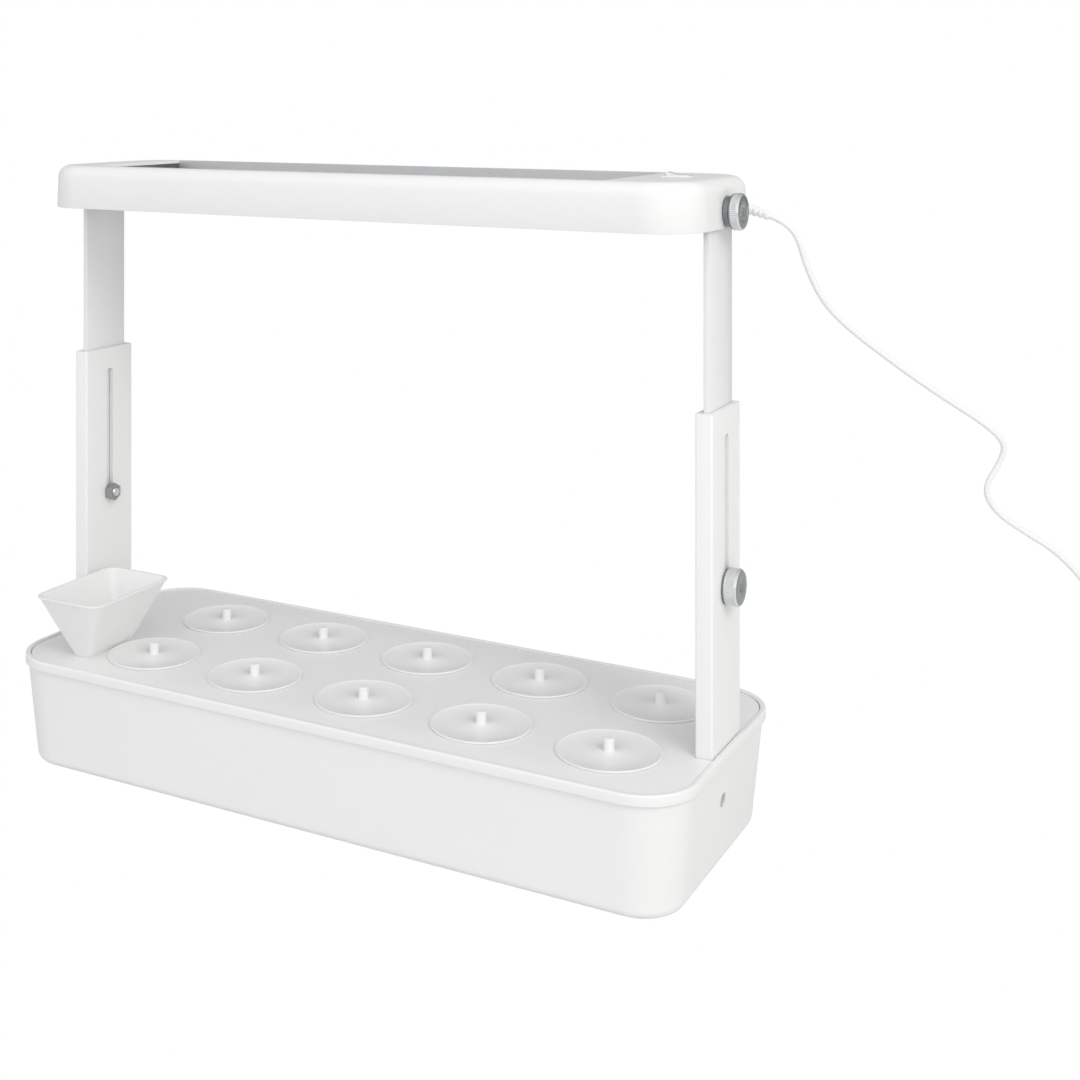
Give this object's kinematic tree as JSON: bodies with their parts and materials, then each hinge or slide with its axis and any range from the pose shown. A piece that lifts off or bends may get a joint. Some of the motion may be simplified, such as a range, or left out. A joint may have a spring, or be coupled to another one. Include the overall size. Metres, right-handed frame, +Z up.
{
  "type": "countertop hydroponic garden",
  "caption": "Long countertop hydroponic garden: drafted water tank with a planting deck, pegged pod lids, a filling funnel, two sliding uprights and a tilting grow lamp.",
  "frame": {"origin": "centre of the tank's underside, on the surface that it stands on", "axes": "+X along the tank to the end with the port and the cord, +Y to the back, +Z up"},
  "size_m": [0.8856, 0.4221, 0.4901],
  "materials": {
    "white_plastic": "satin white moulded plastic",
    "net_cup_plastic": "white net cup plastic",
    "white_metal": "white painted flat steel bar",
    "plated_steel": "nickel-plated knurled steel",
    "aluminium": "extruded aluminium, fine brushed",
    "diffuser_plastic": "milky diffuser sheet",
    "board": "white solder-masked LED board",
    "led_lens": "yellow phosphor LED packages",
    "driver_case": "dark moulded driver case",
    "switch_plastic": "glossy white switch",
    "cord_jacket": "soft white cable jacket",
    "tie_plastic": "soft tie",
    "bright_metal": "nickel-plated plug barrel"
  },
  "bodies": {
    "tank": {"tank": "white_plastic", "left_sleeve": "white_plastic", "right_sleeve": "white_plastic", "cord": "cord_jacket", "cord_coil": "cord_jacket", "cord_tie": "tie_plastic", "dc_plug": "cord_jacket", "plug_barrel": "bright_metal"},
    "deck": {"deck": "white_plastic"},
    "funnel": {"funnel": "white_plastic"},
    "arms": {"left_bar": "white_metal", "right_bar": "white_metal", "left_height_nut": "plated_steel", "right_height_nut": "plated_steel", "left_pivot_nut": "plated_steel", "right_pivot_nut": "plated_steel", "left_height_stud": "plated_steel", "right_height_stud": "plated_steel", "left_pivot_stud": "plated_steel", "right_pivot_stud": "plated_steel"},
    "lamp": {"lamp_housing": "white_plastic", "heat_sink": "aluminium", "diffuser": "diffuser_plastic", "led_board": "board", "leds": "led_lens", "led_driver": "driver_case", "switch_frame": "switch_plastic", "left_pivot_spacer": "plated_steel", "right_pivot_spacer": "plated_steel", "strain_relief": "cord_jacket"},
    "rocker": {"switch_rocker": "switch_plastic"},
    "left_height_knob": {"left_height_knob": "plated_steel"},
    "left_pivot_knob": {"left_pivot_knob": "plated_steel"},
    "right_height_knob": {"right_height_knob": "plated_steel"},
    "right_pivot_knob": {"right_pivot_knob": "plated_steel"},
    "net_cup_front_1": {"net_cup_front_1": "net_cup_plastic"},
    "lid_front_1": {"lid_front_1": "white_plastic"},
    "net_cup_front_2": {"net_cup_front_2": "net_cup_plastic"},
    "lid_front_2": {"lid_front_2": "white_plastic"},
    "net_cup_front_3": {"net_cup_front_3": "net_cup_plastic"},
    "lid_front_3": {"lid_front_3": "white_plastic"},
    "net_cup_front_4": {"net_cup_front_4": "net_cup_plastic"},
    "lid_front_4": {"lid_front_4": "white_plastic"},
    "net_cup_front_5": {"net_cup_front_5": "net_cup_plastic"},
    "lid_front_5": {"lid_front_5": "white_plastic"},
    "net_cup_back_1": {"net_cup_back_1": "net_cup_plastic"},
    "lid_back_1": {"lid_back_1": "white_plastic"},
    "net_cup_back_2": {"net_cup_back_2": "net_cup_plastic"},
    "lid_back_2": {"lid_back_2": "white_plastic"},
    "net_cup_back_3": {"net_cup_back_3": "net_cup_plastic"},
    "lid_back_3": {"lid_back_3": "white_plastic"},
    "net_cup_back_4": {"net_cup_back_4": "net_cup_plastic"},
    "lid_back_4": {"lid_back_4": "white_plastic"},
    "net_cup_back_5": {"net_cup_back_5": "net_cup_plastic"},
    "lid_back_5": {"lid_back_5": "white_plastic"}
  },
  "joints": [
    {"name": "deck_lift", "type": "slide", "parent": "tank", "child": "deck", "axis": [0, 0, 1], "range_m": [0, 0.03]},
    {"name": "funnel_lift", "type": "slide", "parent": "deck", "child": "funnel", "axis": [0, 0, 1], "range_m": [0, 0.02]},
    {"name": "net_cup_front_1_lift", "type": "slide", "parent": "deck", "child": "net_cup_front_1", "axis": [0, 0, 1], "range_m": [0, 0.001]},
    {"name": "lid_front_1_lift", "type": "slide", "parent": "net_cup_front_1", "child": "lid_front_1", "axis": [0, 0, 1], "range_m": [0, 0.001]},
    {"name": "net_cup_front_2_lift", "type": "slide", "parent": "deck", "child": "net_cup_front_2", "axis": [0, 0, 1], "range_m": [0, 0.05]},
    {"name": "lid_front_2_lift", "type": "slide", "parent": "net_cup_front_2", "child": "lid_front_2", "axis": [0, 0, 1], "range_m": [0, 0.03]},
    {"name": "net_cup_front_3_lift", "type": "slide", "parent": "deck", "child": "net_cup_front_3", "axis": [0, 0, 1], "range_m": [0, 0.05]},
    {"name": "lid_front_3_lift", "type": "slide", "parent": "net_cup_front_3", "child": "lid_front_3", "axis": [0, 0, 1], "range_m": [0, 0.03]},
    {"name": "net_cup_front_4_lift", "type": "slide", "parent": "deck", "child": "net_cup_front_4", "axis": [0, 0, 1], "range_m": [0, 0.05]},
    {"name": "lid_front_4_lift", "type": "slide", "parent": "net_cup_front_4", "child": "lid_front_4", "axis": [0, 0, 1], "range_m": [0, 0.03]},
    {"name": "net_cup_front_5_lift", "type": "slide", "parent": "deck", "child": "net_cup_front_5", "axis": [0, 0, 1], "range_m": [0, 0.05]},
    {"name": "lid_front_5_lift", "type": "slide", "parent": "net_cup_front_5", "child": "lid_front_5", "axis": [0, 0, 1], "range_m": [0, 0.03]},
    {"name": "net_cup_back_1_lift", "type": "slide", "parent": "deck", "child": "net_cup_back_1", "axis": [0, 0, 1], "range_m": [0, 0.05]},
    {"name": "lid_back_1_lift", "type": "slide", "parent": "net_cup_back_1", "child": "lid_back_1", "axis": [0, 0, 1], "range_m": [0, 0.03]},
    {"name": "net_cup_back_2_lift", "type": "slide", "parent": "deck", "child": "net_cup_back_2", "axis": [0, 0, 1], "range_m": [0, 0.05]},
    {"name": "lid_back_2_lift", "type": "slide", "parent": "net_cup_back_2", "child": "lid_back_2", "axis": [0, 0, 1], "range_m": [0, 0.03]},
    {"name": "net_cup_back_3_lift", "type": "slide", "parent": "deck", "child": "net_cup_back_3", "axis": [0, 0, 1], "range_m": [0, 0.05]},
    {"name": "lid_back_3_lift", "type": "slide", "parent": "net_cup_back_3", "child": "lid_back_3", "axis": [0, 0, 1], "range_m": [0, 0.03]},
    {"name": "net_cup_back_4_lift", "type": "slide", "parent": "deck", "child": "net_cup_back_4", "axis": [0, 0, 1], "range_m": [0, 0.05]},
    {"name": "lid_back_4_lift", "type": "slide", "parent": "net_cup_back_4", "child": "lid_back_4", "axis": [0, 0, 1], "range_m": [0, 0.03]},
    {"name": "net_cup_back_5_lift", "type": "slide", "parent": "deck", "child": "net_cup_back_5", "axis": [0, 0, 1], "range_m": [0, 0.05]},
    {"name": "lid_back_5_lift", "type": "slide", "parent": "net_cup_back_5", "child": "lid_back_5", "axis": [0, 0, 1], "range_m": [0, 0.03]},
    {"name": "lamp_height", "type": "slide", "parent": "tank", "child": "arms", "axis": [0, 0, 1], "range_m": [0, 0.103]},
    {"name": "lamp_tilt", "type": "hinge", "parent": "arms", "child": "lamp", "pos_m": [0, 0, 0.463], "axis": [1, 0, 0], "range_deg": [-15, 15]},
    {"name": "switch_rock", "type": "hinge", "parent": "lamp", "child": "rocker", "pos_m": [0.2489, 0, 0.4849], "axis": [0, 1, 0], "range_deg": [-14, 0]},
    {"name": "left_height_knob_turn", "type": "hinge", "parent": "arms", "child": "left_height_knob", "pos_m": [-0.29, 0, 0.1995], "axis": [-1, 0, 0], "continuous": true},
    {"name": "left_pivot_knob_turn", "type": "hinge", "parent": "arms", "child": "left_pivot_knob", "pos_m": [-0.293, 0, 0.463], "axis": [-1, 0, 0], "continuous": true},
    {"name": "right_height_knob_turn", "type": "hinge", "parent": "arms", "child": "right_height_knob", "pos_m": [0.29, 0, 0.1995], "axis": [1, 0, 0], "continuous": true},
    {"name": "right_pivot_knob_turn", "type": "hinge", "parent": "arms", "child": "right_pivot_knob", "pos_m": [0.293, 0, 0.463], "axis": [1, 0, 0], "continuous": true}
  ]
}
